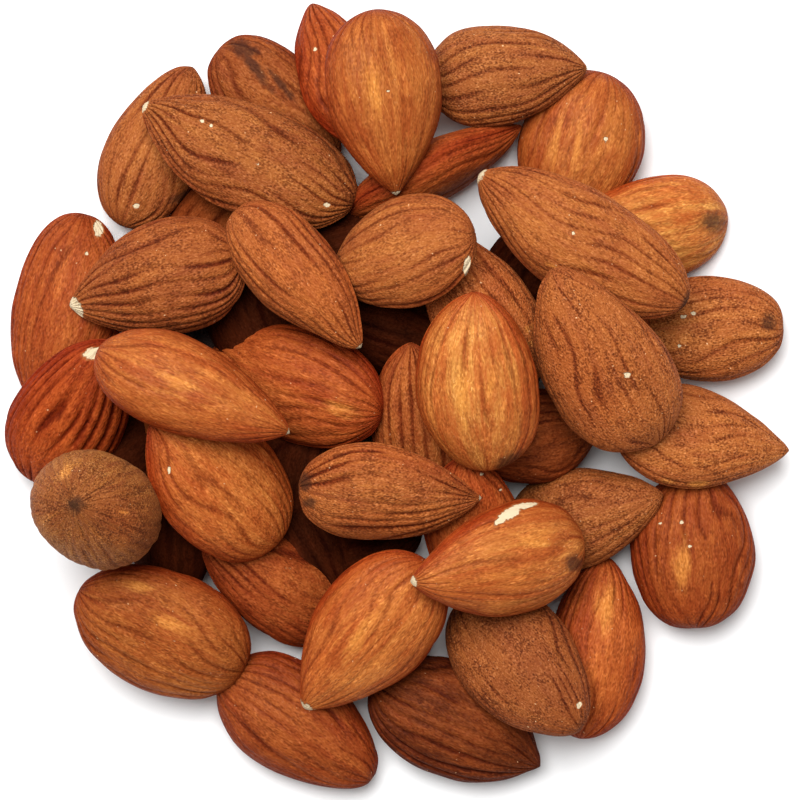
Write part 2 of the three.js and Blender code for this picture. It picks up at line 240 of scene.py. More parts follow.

# ---- the kinds of skin ----
# mesh: sides and rings; furrow: how deep, in mm, and how wide as a share of their spacing; lump: how far the
# form bulges; seam: how high the ridge along its edge stands; edge: how dark the painted shade round its edge
# is
# streak: contrast of the streaks; dash: the share of short ones; shade: how dark the painted shade in furrows
# is;
# vein: how dark thin lines are; gold: how strong the thin light lines are; crinkle: how strong the small
# creases are, in their bump and in their painted shade
# grit: how dense the dark pits are; grain: how long they are; speck: how strong the light specks, partly
# painted glints, are
# bump, wrinkle: height of the grain and of small wrinkles, in mm
# rough: roughness; sheen: dust; gloss: reflections
KINDS = {
    "waxy": {
        "mesh": (176, 66), "furrow": (0.12, 0.42), "lump": 0.34, "seam": 0.10, "edge": 1.00,
        "streak": 0.90, "dash": 0.38, "shade": 0.50, "vein": 0.22, "gold": 0.80, "crinkle": 0.32,
        "grit": 0.48, "grain": 0.42, "speck": 0.5, "bump": 0.060, "wrinkle": 0.16,
        "rough": 0.50, "sheen": 0.01, "gloss": 0.07,
    },
    "red": {
        "mesh": (176, 64), "furrow": (0.20, 0.46), "lump": 0.38, "seam": 0.15, "edge": 1.00,
        "streak": 0.75, "dash": 0.42, "shade": 0.65, "vein": 0.30, "gold": 0.60, "crinkle": 0.48,
        "grit": 0.56, "grain": 0.45, "speck": 0.5, "bump": 0.090, "wrinkle": 0.20,
        "rough": 0.54, "sheen": 0.01, "gloss": 0.06,
    },
    "ribbed": {
        "mesh": (192, 66), "furrow": (0.34, 0.50), "lump": 0.38, "seam": 0.18, "edge": 0.90,
        "streak": 0.75, "dash": 0.50, "shade": 0.90, "vein": 0.35, "gold": 0.50, "crinkle": 0.80,
        "grit": 0.52, "grain": 0.45, "speck": 0.5, "bump": 0.080, "wrinkle": 0.18,
        "rough": 0.56, "sheen": 0.01, "gloss": 0.05,
    },
    "furrowed": {
        "mesh": (192, 66), "furrow": (0.30, 0.56), "lump": 0.36, "seam": 0.20, "edge": 0.55,
        "streak": 0.50, "dash": 0.40, "shade": 0.95, "vein": 0.35, "gold": 0.35, "crinkle": 0.50,
        "grit": 0.90, "grain": 0.65, "speck": 0.8, "bump": 0.120, "wrinkle": 0.12,
        "rough": 0.66, "sheen": 0.06, "gloss": 0.07,
    },
    "dusty": {
        "mesh": (176, 64), "furrow": (0.18, 0.50), "lump": 0.34, "seam": 0.15, "edge": 0.50,
        "streak": 0.45, "dash": 0.40, "shade": 0.80, "vein": 0.30, "gold": 0.40, "crinkle": 0.50,
        "grit": 0.72, "grain": 0.60, "speck": 0.7, "bump": 0.100, "wrinkle": 0.12,
        "rough": 0.68, "sheen": 0.06, "gloss": 0.07,
    },
    "granular": {
        "mesh": (176, 64), "furrow": (0.15, 0.50), "lump": 0.36, "seam": 0.15, "edge": 0.40,
        "streak": 0.40, "dash": 0.30, "shade": 0.70, "vein": 0.25, "gold": 0.25, "crinkle": 0.40,
        "grit": 1.00, "grain": 0.75, "speck": 0.9, "bump": 0.140, "wrinkle": 0.10,
        "rough": 0.66, "sheen": 0.06, "gloss": 0.08,
    },
    "crumpled": {
        "mesh": (176, 64), "furrow": (0.12, 0.60), "lump": 0.62, "seam": 0.10, "edge": 0.35,
        "streak": 0.60, "dash": 0.60, "shade": 0.30, "vein": 0.15, "gold": 0.30, "crinkle": 0.80,
        "grit": 1.00, "grain": 0.85, "speck": 0.9, "bump": 0.140, "wrinkle": 0.30,
        "rough": 0.66, "sheen": 0.08, "gloss": 0.10,
    },
    "dark": {
        "mesh": (160, 56), "furrow": (0.24, 0.50), "lump": 0.36, "seam": 0.20, "edge": 0.80,
        "streak": 0.60, "dash": 0.45, "shade": 0.85, "vein": 0.35, "gold": 0.30, "crinkle": 0.70,
        "grit": 0.65, "grain": 0.55, "speck": 0.3, "bump": 0.080, "wrinkle": 0.14,
        "rough": 0.66, "sheen": 0.01, "gloss": 0.06,
    },
    # buried: the kernels low in the heap; the near-black deep skin that most of them have is painted shade
    "buried": {
        "mesh": (72, 40), "furrow": (0.15, 0.50), "lump": 0.30, "seam": 0.15, "edge": 0.60,
        "streak": 0.50, "dash": 0.40, "shade": 0.80, "vein": 0.30, "gold": 0.10, "crinkle": 0.30,
        "grit": 0.60, "grain": 0.60, "speck": 0.0, "bump": 0.050, "wrinkle": 0.06,
        "rough": 0.78, "sheen": 0.00, "gloss": 0.02,
    },
}


# ---- smooth noise ----

LATTICE_SIZE = 4096
LATTICE = np.random.default_rng(11).uniform(-1, 1, LATTICE_SIZE)
LATTICE_STEPS = np.array([73856093, 19349663, 83492791])


def noise(points):
    """Smooth noise, about -0.8 to 0.8, at points whose last axis holds three coordinates."""
    cell = np.floor(points).astype(np.int64)
    part = points - cell
    ease = part * part * (3 - 2 * part)
    total = 0
    for corner in itertools.product((0, 1), repeat=3):
        weight = np.prod(np.where(corner, ease, 1 - ease), axis=-1)
        steps = (cell + corner) * LATTICE_STEPS
        place = steps[..., 0] ^ steps[..., 1] ^ steps[..., 2]
        total = total + weight * LATTICE[place & (LATTICE_SIZE - 1)]
    return total


# ---- the form of a kernel, and how it comes to lie ----


def belly(share, blunt, point):
    """Half a kernel's width as a share of its widest place, at a share of its length from the blunt end."""
    widest = blunt / (blunt + point)
    return share**blunt * (1 - share) ** point / (widest**blunt * (1 - widest) ** point)


def rings_of(sides, rings):
    """The shares along the length and the angles round it of a grid from the blunt end to the tip."""
    share = 0.5 - 0.5 * np.cos(np.pi * np.arange(rings + 2) / (rings + 1))
    around = 2 * np.pi * np.arange(sides) / sides
    return share[:, None], around[None, :]


def skin_grid(kernel, share, around):
    """The plain skin, rings by sides by 3, of a kernel that lies along +X with its tip first."""
    half_width = 0.5 * kernel["wide"] * belly(share, BLUNT, kernel["point"])
    half_thick = 0.5 * kernel["thick"] * belly(share, BLUNT, SIDE_POINT * kernel["point"])
    bend = kernel["bow"] * (4 * share * (1 - share) - 0.5)
    x = kernel["long"] * (share - 0.5) + 0 * around
    return np.stack([x, bend + half_width * np.cos(around), half_thick * np.sin(around)], -1)


def attitude(kernel, lean):
    """The rotation matrix of a kernel: rolled about its length, pitched tip up, turned to its heading."""
    pitch, roll, turn = math.radians(-lean[0]), math.radians(lean[1]), math.radians(kernel["turn"])
    rolled = [[1, 0, 0], [0, math.cos(roll), -math.sin(roll)], [0, math.sin(roll), math.cos(roll)]]
    pitched = [[math.cos(pitch), 0, math.sin(pitch)], [0, 1, 0], [-math.sin(pitch), 0, math.cos(pitch)]]
    turned = [[math.cos(turn), -math.sin(turn), 0], [math.sin(turn), math.cos(turn), 0], [0, 0, 1]]
    return np.array(turned) @ np.array(pitched) @ np.array(rolled)


def cells_of(points):
    """The cell of the ground's grid that each point is over."""
    steps = np.floor((points[:, :2] + REACH) / CELL).astype(int)
    return steps[:, 0] * CELLS + steps[:, 1]


def raise_ground(ground, points):
    """Makes the ground at least as high as the points over it."""
    np.maximum.at(ground, cells_of(points), points[:, 2])


def lay_down(kernel, ground):
    """How a kernel lies that drops on the ground and leans until its middle is as low as it gets.

    Gives its lean, its rotation matrix, the points it was tried with, and where its middle is. The ground
    then has the kernel on it.
    """
    slimmer = dict(kernel, long=kernel["long"] - 2 * SQUEEZE, wide=kernel["wide"] - 2 * SQUEEZE)
    probe = skin_grid(slimmer, *rings_of(*PROBE)).reshape(-1, 3)
    middle = 0.5 * kernel["thick"]
    best = None

    def try_lean(lean):
        turn = attitude(kernel, lean)
        nearer = 1 - middle / EYE_HEIGHT
        at = np.array([kernel["x"] * nearer, kernel["y"] * nearer, 0])
        points = probe @ turn.T + at
        at[2] = (ground[cells_of(points)] - points[:, 2]).max() - PRESS
        points[:, 2] += at[2]
        return {"lean": lean, "turn": turn, "points": points, "at": at}

    for _ in range(2):
        best = try_lean(best["lean"] if best else kernel["lean"] or (0, 0))
        for step in () if kernel["lean"] else LEAN_STEPS:
            moved = True
            while moved:
                moved = False
                for up, over in ((step, 0), (-step, 0), (0, step), (0, -step)):
                    lean = (best["lean"][0] + up, best["lean"][1] + over)
                    if any(abs(angle) > limit for angle, limit in zip(lean, STEEPEST)):
                        continue
                    trial = try_lean(lean)
                    if trial["at"][2] < best["at"][2] - LOWER_BY:
                        best = trial
                        moved = True
        middle = best["at"][2]
    raise_ground(ground, best["points"])
    return best


def mound_rings(sides, rings):
    """The mound's skin, rings by sides by 3, from its foot up to its top."""
    around = 2 * np.pi * np.arange(sides)[None, :] / sides
    climb = 0.5 * np.pi * np.maximum(np.arange(rings)[:, None] - 1, 0) / (rings - 1)
    level = MOUND["high"] * np.sin(climb) + 0 * around
    level[0] = -FOOT_DEPTH
    reach = 0.5 * np.cos(climb) * (1 + MOUND["lump"] * np.sin(MOUND["lumps"] * around))
    x = MOUND["x"] + MOUND["wide"] * reach * np.cos(around)
    y = MOUND["y"] + MOUND["deep"] * reach * np.sin(around)
    return np.stack([x, y, level], -1)


def lay_all():
    """How every kernel of the heap lies, in the order of the list."""
    ground = np.zeros(CELLS * CELLS)
    raise_ground(ground, mound_rings(*MOUND_PROBE).reshape(-1, 3))
    raise_ground(ground, np.array([[MOUND["x"], MOUND["y"], MOUND["high"]]]))
    return [lay_down(one, ground) for one in KERNELS]


# ---- the mesh of a kernel ----

STRETCH = 12.0  # how much longer than wide the streaks are
DASH_STRETCH = 4.0  # and the short ones
FURROW_SPACING = 1.6  # mm, where a kernel is widest
WANDER = 1.5  # how far furrows stray, in their spacings
WANDER_SIZE = np.array([9.0, 4.5, 4.5])  # mm, along and across
FURROW_RUN = 5.5  # mm that a furrow keeps its depth
FURROW_APART = 1.7  # how far apart two furrows are in the noise that sets their depth
FURROW_DEPTH = 0.70  # on average
FURROW_OWN = 0.75  # how much each furrow differs from that
FURROW_PATCH = 0.40  # and each patch of skin
PATCH_SIZE = 5.0  # mm
PATCH_SEED = 3.3
FURROW_LIMITS = (0.05, 1.2)
LUMP_SIZE = 6.5  # mm
SMALL_LUMP_SIZE = np.array([3.2, 1.9, 1.9])  # mm, along and across
SMALL_LUMP = 0.30  # as a share of a large one's height
SEAM_WIDTH = 0.09  # radians
END_SHARE = 0.04  # of the length, where the relief fades to nothing
BARE_TIP = 0.6  # of a chipped tip, which has no relief
EDGE_FALL = 1.6  # how late the painted shade sets in towards a kernel's edge
SEED_STEP = 37.3 * np.array([1.0, 0.7, 0.4])  # between the seeds of two kernels
MARK_KINDS = ("chip", "stain", "pale", "red_and_shade")


def normals_of(grid):
    """The outward normals of a grid of rings that closes round its second axis."""
    along = np.gradient(grid, axis=0)
    across = np.roll(grid, -1, axis=1) - np.roll(grid, 1, axis=1)
    normal = np.cross(across, along)
    return normal / np.maximum(np.linalg.norm(normal, axis=-1, keepdims=True), 1e-9)


def mark_depth(mark, seen):
    """How deep inside a mark each seen point is: 1 at its middle, 0 at its edge, below 0 outside."""
    _, x, y, long, wide, turn = mark
    angle = math.radians(turn)
    east, north = seen[..., 0] - x, seen[..., 1] - y
    along = east * math.cos(angle) + north * math.sin(angle)
    across = north * math.cos(angle) - east * math.sin(angle)
    return 1 - np.hypot(along / long, across / wide)


def furrows(plain, around, girth, width, seed):
    """How deep in a furrow each point of a skin is, from 0 to about 1.

    Furrows run from the blunt end to the tip at even angles, stray a little, and each comes and goes.
    """
    count = round(2 * np.pi * girth / FURROW_SPACING)
    phase = count * around / (2 * np.pi) + WANDER * noise(plain / WANDER_SIZE + seed)
    own = np.round(phase)
    valley = np.exp(-((np.sin(np.pi * (phase - own)) / width) ** 2))
    place = np.stack([FURROW_APART * (own % count), plain[..., 0] / FURROW_RUN, 0 * own], -1)
    patch = noise(plain / PATCH_SIZE + seed + PATCH_SEED)
    depth = FURROW_DEPTH + FURROW_OWN * noise(place + seed) + FURROW_PATCH * patch
    return valley * np.clip(depth, *FURROW_LIMITS)


def kernel_mesh(kernel, lying, number):
    """A kernel's grid of points, in the heap's place, and its skin's attributes."""
    kind = KINDS[kernel["kind"]]
    share, around = rings_of(*kind["mesh"])
    plain = skin_grid(kernel, share, around)
    seed = SEED_STEP * number

    girth = 0.25 * (kernel["wide"] + kernel["thick"])
    streak_at = np.stack([
        girth * np.cos(around) + 0 * share,
        girth * np.sin(around) + 0 * share,
        plain[..., 0],
    ], -1)
    furrow = furrows(plain, around, girth, kind["furrow"][1], seed)
    ends = np.sqrt(np.clip(np.minimum(share, 1 - share) / END_SHARE, 0, 1))
    small_lump = SMALL_LUMP * noise(plain / SMALL_LUMP_SIZE - seed)
    lump = kind["lump"] * (noise(plain / LUMP_SIZE + seed) + small_lump)
    seam = kind["seam"] * np.exp(-((np.angle(np.exp(1j * around)) / SEAM_WIDTH) ** 2))
    rise = ends * (lump + seam - kind["furrow"][0] * furrow)
    if kernel["tip"]:
        from_tip = np.linalg.norm(plain - plain[-1, 0], axis=-1)
        rise *= np.clip((from_tip / kernel["tip"] - BARE_TIP) / (1 - BARE_TIP), 0, 1)
    relief = plain + normals_of(plain) * rise[..., None]

    points = relief @ lying["turn"].T + lying["at"]
    points[..., 2] = np.maximum(points[..., 2], 0)
    normals = normals_of(relief) @ lying["turn"].T
    seen = points[..., :2] / (1 - points[..., 2:] / EYE_HEIGHT)
    layers = {name: np.full(share.shape[:1] + around.shape[1:], -1.0) for name in MARK_KINDS}
    for mark in kernel["marks"]:
        inside = np.where(normals[..., 2] > 0, mark_depth(mark, seen), -1)
        layers[mark[0]] = np.maximum(layers[mark[0]], inside)
    for name, end, size in (("chip", -1, kernel["tip"]), ("stain", 0, kernel["pole"])):
        if size:
            far = np.linalg.norm(plain - plain[end, 0], axis=-1)
            layers[name] = np.maximum(layers[name], 1 - far / size)

    # painted shade: the skin darker and redder towards the kernel's rim, where the light falls off
    edge = kind["edge"] * (1 - np.abs(normals_of(plain)[..., 2:]) ** EDGE_FALL)
    shade = kernel["tone"] * (1 - edge * (1 - EDGE_PAINTED_SHADE))
    clear = np.ones((*points.shape[:2], 1))
    ridge, valley = (np.concatenate([shade * linear(colour), clear], -1) for colour in SKINS[kernel["skin"]])
    attributes = {
        "streak_at": streak_at + seed,
        "skin_at": plain + seed,
        "ridge": ridge,
        "valley": valley,
        "furrow": furrow,
        **{name: np.maximum(layer, -1) for name, layer in layers.items()},
    }
    return points, attributes


def linear(colour):
    """An sRGB colour, 0 to 255, as linear light."""
    share = np.array(colour) / 255
    return np.where(share <= 0.04045, share / 12.92, ((share + 0.055) / 1.055) ** 2.4)


def ring_faces(rings, sides, first):
    """Quads between rings, triangles at the first and last ring's pole, numbered from first."""
    faces = []
    ring = first + 1 + sides * np.arange(rings)[:, None] + np.arange(sides)[None, :]
    after = np.roll(ring, -1, axis=1)
    quads = np.stack([ring[:-1], after[:-1], after[1:], ring[1:]], -1).reshape(-1, 4)
    faces += quads.tolist()
    last = first + 1 + rings * sides
    for side in range(sides):
        faces.append([first, int(after[0, side]), int(ring[0, side])])
        faces.append([last, int(ring[-1, side]), int(after[-1, side])])
    return faces


def without_poles(grid):
    """A grid of rings as a list of points: the first ring's middle, the rings between, and the last one's."""
    inner = grid[1:-1].reshape(-1, *grid.shape[2:])
    return np.concatenate([grid[:1].mean(axis=1), inner, grid[-1:].mean(axis=1)])


def joined_mesh(name, grids):
    """One mesh object, in metres, of several closed grids of rings, with their attributes."""
    points, faces, layers, first = [], [], {}, 0
    for grid, attributes in grids:
        points.append(without_poles(grid))
        faces += ring_faces(grid.shape[0] - 2, grid.shape[1], first)
        first += len(points[-1])
        for key, values in attributes.items():
            layers.setdefault(key, []).append(without_poles(values))
    mesh = bpy.data.meshes.new(name)
    mesh.from_pydata((np.concatenate(points) * MM).tolist(), [], faces)
    for key, values in layers.items():
        write_attribute(mesh, key, np.concatenate(values))
    mesh.shade_smooth()
    piece = bpy.data.objects.new(name, mesh)
    bpy.context.scene.collection.objects.link(piece)
    return piece


def write_attribute(mesh, name, values):
    """Stores a number, a vector or a colour for each point, as the shape of the values says."""
    kind, field = {
        (): ("FLOAT", "value"),
        (3,): ("FLOAT_VECTOR", "vector"),
        (4,): ("FLOAT_COLOR", "color"),
    }[values.shape[1:]]
    attribute = mesh.attributes.new(name, kind, "POINT")
    attribute.data.foreach_set(field, values.astype(np.float32).ravel())


# ---- materials ----


class Graph:
    """Adds shader nodes to a new material. Each call takes sockets or plain values and returns a socket."""

    def __init__(self, name):
        self.material = bpy.data.materials.new(name)
        self.material.use_nodes = True
        self.tree = self.material.node_tree
        self.surface = next(node for node in self.tree.nodes if node.type == "BSDF_PRINCIPLED")

    def feed(self, socket, value):
        if isinstance(value, bpy.types.NodeSocket):
            self.tree.links.new(value, socket)
        else:
            socket.default_value = value

    def add(self, kind, inputs, output=0, **settings):
        node = self.tree.nodes.new(kind)
        for key, value in settings.items():
            setattr(node, key, value)
        for key, value in inputs.items():
            self.feed(node.inputs[key], value)
        return node.outputs[output]

    def attribute(self, name, output="Fac"):
        return self.add("ShaderNodeAttribute", {}, output, attribute_name=name, attribute_type="GEOMETRY")

    def math(self, operation, one, other=0.0):
        return self.add("ShaderNodeMath", {0: one, 1: other}, operation=operation)

    def plus(self, one, *others):
        for other in others:
            one = self.math("ADD", one, other)
        return one

    def by(self, one, factor):
        return self.math("MULTIPLY", one, factor)

    def less(self, one, other):
        return self.math("SUBTRACT", one, other)

    def centred(self, value, factor):
        """A noise with its middle at 0, times a factor."""
        return self.by(self.less(value, 0.5), factor)

    def off_middle(self, value):
        """How far a noise is from its middle. It is 0 along wandering lines."""
        return self.math("ABSOLUTE", self.less(value, 0.5))

    def times(self, vector, factors):
        return self.add("ShaderNodeVectorMath", {0: vector, 1: factors}, operation="MULTIPLY")

    def noise(self, vector, scale, detail, rough=0.5, distortion=0.0):
        inputs = {"Scale": scale, "Detail": detail, "Roughness": rough, "Distortion": distortion}
        return self.add("ShaderNodeTexNoise", {"Vector": vector, **inputs})

    def cells(self, vector, scale):
        """How far each place is from the middle of its cell, and a random number of that cell."""
        node = self.tree.nodes.new("ShaderNodeTexVoronoi")
        self.feed(node.inputs["Vector"], vector)
        self.feed(node.inputs["Scale"], scale)
        number = self.add("ShaderNodeSeparateColor", {"Color": node.outputs["Color"]})
        return node.outputs["Distance"], number

    def step(self, value, low, high):
        """0 below low, 1 above high, and smooth between them. Low may be the larger one."""
        inputs = {"Value": value, "From Min": low, "From Max": high}
        return self.add("ShaderNodeMapRange", inputs, interpolation_type="SMOOTHSTEP")

    def mix(self, share, one, other):
        return self.add("ShaderNodeMix", {0: share, 6: one, 7: other}, 2, data_type="RGBA")

    def tint(self, share, colour, factors):
        """The colour, with a share of it multiplied by factors."""
        return self.mix(share, colour, self.times(colour, factors))


def rgba(colour):
    return (*linear(colour), 1.0)


# sRGB colours
FLESH = (206, 187, 154)
FLESH_EDGE = (150, 84, 42)
STAIN = (50, 28, 20)
PALE = (214, 138, 60)
# light specks of the skin, partly painted glints
SPECK_AND_GLINT = (226, 180, 134)
SHEEN_TINT = (220, 160, 110)
# painted shade: the near-black of the heap's core, between and under the kernels
CORE_SHADE = ((26, 12, 7), (56, 26, 12))
FLOOR = ((240, 240, 240), (246, 246, 246))

# what the light of a skin is multiplied by
FURROW_PAINTED_SHADE = tuple(linear((172, 128, 104)))  # painted shade in its furrows
VEIN_SHADE = tuple(linear((170, 118, 90)))  # along its thin dark lines
CREASE_PAINTED_SHADE = (0.72, 0.54, 0.44)  # painted shade in its small creases
GOLD = (1.45, 1.70, 1.80)  # along its thin light lines
RED_AND_SHADE = (0.93, 0.77, 0.70)  # where it is redder: partly its own colour, partly painted shade on lower sides and rims
PIT_SHADE = (0.34, 0.24, 0.20)  # in its dark pits
DOT_AND_GLINT_LIGHT = (1.65, 2.05, 2.90)  # on its light dots, which are partly painted glints

# noises: scale, detail, and where they aren't plain, roughness and distortion
NOISES = {
    "streaks": (0.62, 2, 0.5, 1.1),
    "dashes": (1.5, 3, 0.62, 1.4),
    "patches": (0.18, 2),
    "veins": (1.5, 1, 0.5, 0.3),
    "vein patches": (0.8, 1),
    "crinkles": (2.6, 2, 0.6, 1.2),
    "gold": (0.95, 2, 0.5, 1.4),
    "gold patches": (0.45, 1),
    "fine grain": (5.2, 0),
    "coarse grain": (2.1, 1),
    "crowds": (0.5, 2),
    "stains": (1.1, 2),
    "specks": (2.3, 1, 0.4),
    "coarse chips": (1.5, 1),
    "fine chips": (3.6, 1),
    "wrinkles": (0.9, 2, 0.55, 0.6),
    "core": (220.0, 4, 0.6),
    "core bumps": (900.0, 3),
    "floor": (30.0, 2),
}
# where each of them sets in, and where it is full
STEPS = {
    "furrow": (0.12, 0.95),
    "vein": (0.07, 0.0),
    "vein patch": (0.42, 0.62),
    "crease": (0.50, 0.34),
    "gold": (0.055, 0.0),
    "gold patch": (0.38, 0.60),
    "pale": (-0.1, 0.9),
    "red_and_shade": (-0.3, 1.0),
    "pit": (0.0, 0.24),
    "dark grain": (0.56, 0.70),
    "dot": (0.0, 0.16),
    "light grain": (0.46, 0.34),
    "stain": (-0.25, 0.65),
    "speck": (0.775, 0.82),
    "chip edge": (-0.15, 0.05),
    "chip": (0.06, 0.22),
    "rough furrow": (0.2, 1.2),
    "core": (0.35, 0.65),
}
STREAK_SOFTNESS = 0.16
PATCHINESS = 0.35  # how much whole patches are lighter or darker
MARK_RAGGED = 2.4  # how far streaks reach into pale and red places
STAIN_RAGGED = 1.2
CHIP_RAGGED = 0.9
FINE_CHIP = 0.4  # the share of the fine noise in a chip's outline
PALE_SHARE, RED_AND_SHADE_SHARE, STAIN_SHARE, CHIP_EDGE_SHARE = 0.48, 0.85, 0.75, 0.8
FINE_GRAIN = 0.85  # the share of the fine noise in the grain
CROWDING = 0.65  # how much denser pits are in some places
# size: of the smallest; spread: how much larger they get; crowd: how much they grow where they are dense, and
# how much denser they are in furrows; share: how strong they are; grain: and the grain between them
PITS = {
    "scale": 3.1, "size": 0.16, "spread": 0.34, "crowd": 1.5, "in furrows": 0.10, "share": 0.85, "grain": 0.7,
}
DOTS = {"scale": 2.6, "spread": 0.40, "share": 0.9, "grain": 0.45, "squash": (1, 1.1, 0.9)}
CRINKLE_STRETCH, WRINKLE_STRETCH = 2.0, 1 / 0.35
GRAIN_ROUGH, FURROW_ROUGH, CHIP_ROUGH = 0.3, 0.12, 0.2
DASH_HEIGHT, CRINKLE_HEIGHT, CHIP_DEPTH = 0.04, 0.16, 0.12  # mm


class Skin(Graph):
    """The material of one kind of kernel, built up by its methods in the order that they stand in."""

    def __init__(self, name, kind):
        super().__init__(name)
        self.kind = kind
        self.round_at = self.attribute("streak_at", "Vector")
        self.skin_at = self.attribute("skin_at", "Vector")
        self.dash_at = self.stretched(DASH_STRETCH)
        self.furrow = self.attribute("furrow")
        self.in_furrow = self.step(self.furrow, *STEPS["furrow"])
        self.dash = self.at(self.dash_at, "dashes")
        self.crinkle = self.at(self.stretched(CRINKLE_STRETCH), "crinkles")

    def at(self, place, name):
        return self.noise(place, *NOISES[name])

    def stretched(self, factor):
        """Places on the skin that make a noise longer along the kernel."""
        return self.times(self.round_at, (1, 1, 1 / factor))

    def add_streaks(self):
        """Long and short streaks between the colours of the skin, and painted shade in its furrows."""
        kind, streak_at = self.kind, self.stretched(STRETCH)
        self.streaks = self.plus(
            self.by(self.at(streak_at, "streaks"), 1 - kind["dash"]),
            self.by(self.dash, kind["dash"]),
            self.centred(self.at(self.skin_at, "patches"), PATCHINESS),
        )
        half = STREAK_SOFTNESS / kind["streak"]
        light = self.step(self.streaks, 0.5 - half, 0.5 + half)
        colour = self.mix(light, self.attribute("valley", "Color"), self.attribute("ridge", "Color"))
        # painted shade in the furrows, where the grooves sink
        self.colour = self.tint(self.by(self.in_furrow, kind["shade"]), colour, FURROW_PAINTED_SHADE)

        line = self.step(self.off_middle(self.at(streak_at, "veins")), *STEPS["vein"])
        vein = self.by(line, self.step(self.at(self.skin_at, "vein patches"), *STEPS["vein patch"]))
        self.colour = self.tint(self.by(vein, kind["vein"]), self.colour, VEIN_SHADE)

    def add_threads(self):
        """Painted shade in small creases, and thin light lines."""
        # painted shade where the crinkle bump is lowest
        crease = self.step(self.crinkle, *STEPS["crease"])
        self.colour = self.tint(self.by(crease, self.kind["crinkle"]), self.colour, CREASE_PAINTED_SHADE)
        line = self.step(self.off_middle(self.at(self.dash_at, "gold")), *STEPS["gold"])
        gold = self.by(line, self.step(self.at(self.skin_at, "gold patches"), *STEPS["gold patch"]))
        self.colour = self.tint(self.by(gold, self.kind["gold"]), self.colour, GOLD)

    def add_places(self):
        """The kernel's pale places, and its redder places, which are partly painted shade."""
        ragged = self.centred(self.streaks, MARK_RAGGED)
        # pale places: the skin's own lighter colour, and on one kernel a scuff that is partly a painted
        # highlight
        pale = self.step(self.plus(self.attribute("pale"), ragged), *STEPS["pale"])
        self.colour = self.mix(self.by(pale, PALE_SHARE), self.colour, rgba(PALE))
        # redder, darker places: partly the skin's own colour, partly painted shade on lower sides and rims
        red_and_shade = self.step(self.plus(self.attribute("red_and_shade"), ragged), *STEPS["red_and_shade"])
        self.colour = self.tint(self.by(red_and_shade, RED_AND_SHADE_SHARE), self.colour, RED_AND_SHADE)

    def add_grain(self):
        """Dark pits and light dots, with grain between them. The light dots are partly painted glints."""
        grit, plain = self.kind["grit"], self.colour
        place = self.times(self.skin_at, (self.kind["grain"], 1, 1))
        self.grain = self.plus(
            self.by(self.at(place, "fine grain"), FINE_GRAIN),
            self.by(self.at(place, "coarse grain"), 1 - FINE_GRAIN),
        )
        crowd = self.plus(
            self.centred(self.at(self.skin_at, "crowds"), CROWDING),
            self.by(self.in_furrow, PITS["in furrows"]),
        )

        far, own = self.cells(place, PITS["scale"])
        size = self.plus(self.by(own, PITS["spread"]), self.by(crowd, PITS["crowd"]), PITS["size"])
        dark = self.by(self.step(self.plus(self.grain, crowd), *STEPS["dark grain"]), PITS["grain"])
        pits = self.math("MAXIMUM", self.step(self.less(size, far), *STEPS["pit"]), dark)
        self.colour = self.tint(self.by(pits, PITS["share"] * grit), self.colour, PIT_SHADE)

        far, own = self.cells(self.times(place, DOTS["squash"]), DOTS["scale"])
        dots = self.step(self.less(self.by(own, DOTS["spread"]), far), *STEPS["dot"])
        light = self.by(self.step(self.grain, *STEPS["light grain"]), DOTS["grain"])
        dots = self.math("MAXIMUM", self.by(dots, DOTS["share"]), light)
        # light dots: light flecks of the skin, partly painted glints
        self.colour = self.mix(self.by(dots, grit), self.colour, self.times(plain, DOT_AND_GLINT_LIGHT))

    def add_marks(self):
        """The kernel's stains, light specks that are partly painted glints, and chips that show the flesh."""
        ragged = self.centred(self.at(self.skin_at, "stains"), STAIN_RAGGED)
        stain = self.step(self.plus(self.attribute("stain"), ragged), *STEPS["stain"])
        self.colour = self.mix(self.by(stain, STAIN_SHARE), self.colour, rgba(STAIN))

        # light specks, partly painted glints
        speck = self.step(self.at(self.skin_at, "specks"), *STEPS["speck"])
        self.colour = self.mix(self.by(speck, self.kind["speck"]), self.colour, rgba(SPECK_AND_GLINT))

        ragged = self.plus(
            self.by(self.at(self.skin_at, "coarse chips"), 1 - FINE_CHIP),
            self.by(self.at(self.skin_at, "fine chips"), FINE_CHIP),
        )
        depth = self.plus(self.attribute("chip"), self.centred(ragged, CHIP_RAGGED))
        edge = self.by(self.step(depth, *STEPS["chip edge"]), CHIP_EDGE_SHARE)
        self.bare = self.step(depth, *STEPS["chip"])
        self.colour = self.mix(self.bare, self.mix(edge, self.colour, rgba(FLESH_EDGE)), rgba(FLESH))

    def finish(self):
        """The colour, roughness and height on the shader, and the gloss and dust that are even all over."""
        kind, inputs = self.kind, self.surface.inputs
        self.feed(inputs["Base Color"], self.colour)
        self.feed(inputs["Roughness"], self.plus(
            kind["rough"],
            self.centred(self.grain, GRAIN_ROUGH),
            self.by(self.step(self.furrow, *STEPS["rough furrow"]), FURROW_ROUGH),
            self.by(self.bare, CHIP_ROUGH),
        ))
        inputs["Sheen Weight"].default_value = kind["sheen"]
        inputs["Sheen Roughness"].default_value = 0.5
        inputs["Sheen Tint"].default_value = rgba(SHEEN_TINT)
        inputs["Specular IOR Level"].default_value = kind["gloss"]

        height = self.plus(
            self.by(self.grain, -kind["bump"]),
            self.by(self.at(self.stretched(WRINKLE_STRETCH), "wrinkles"), kind["wrinkle"]),
            self.by(self.dash, DASH_HEIGHT),
            self.by(self.crinkle, CRINKLE_HEIGHT * kind["crinkle"]),
            self.by(self.bare, -CHIP_DEPTH),
        )
        bump = self.add("ShaderNodeBump", {"Strength": 1.0, "Distance": MM, "Height": height})
        self.feed(inputs["Normal"], bump)


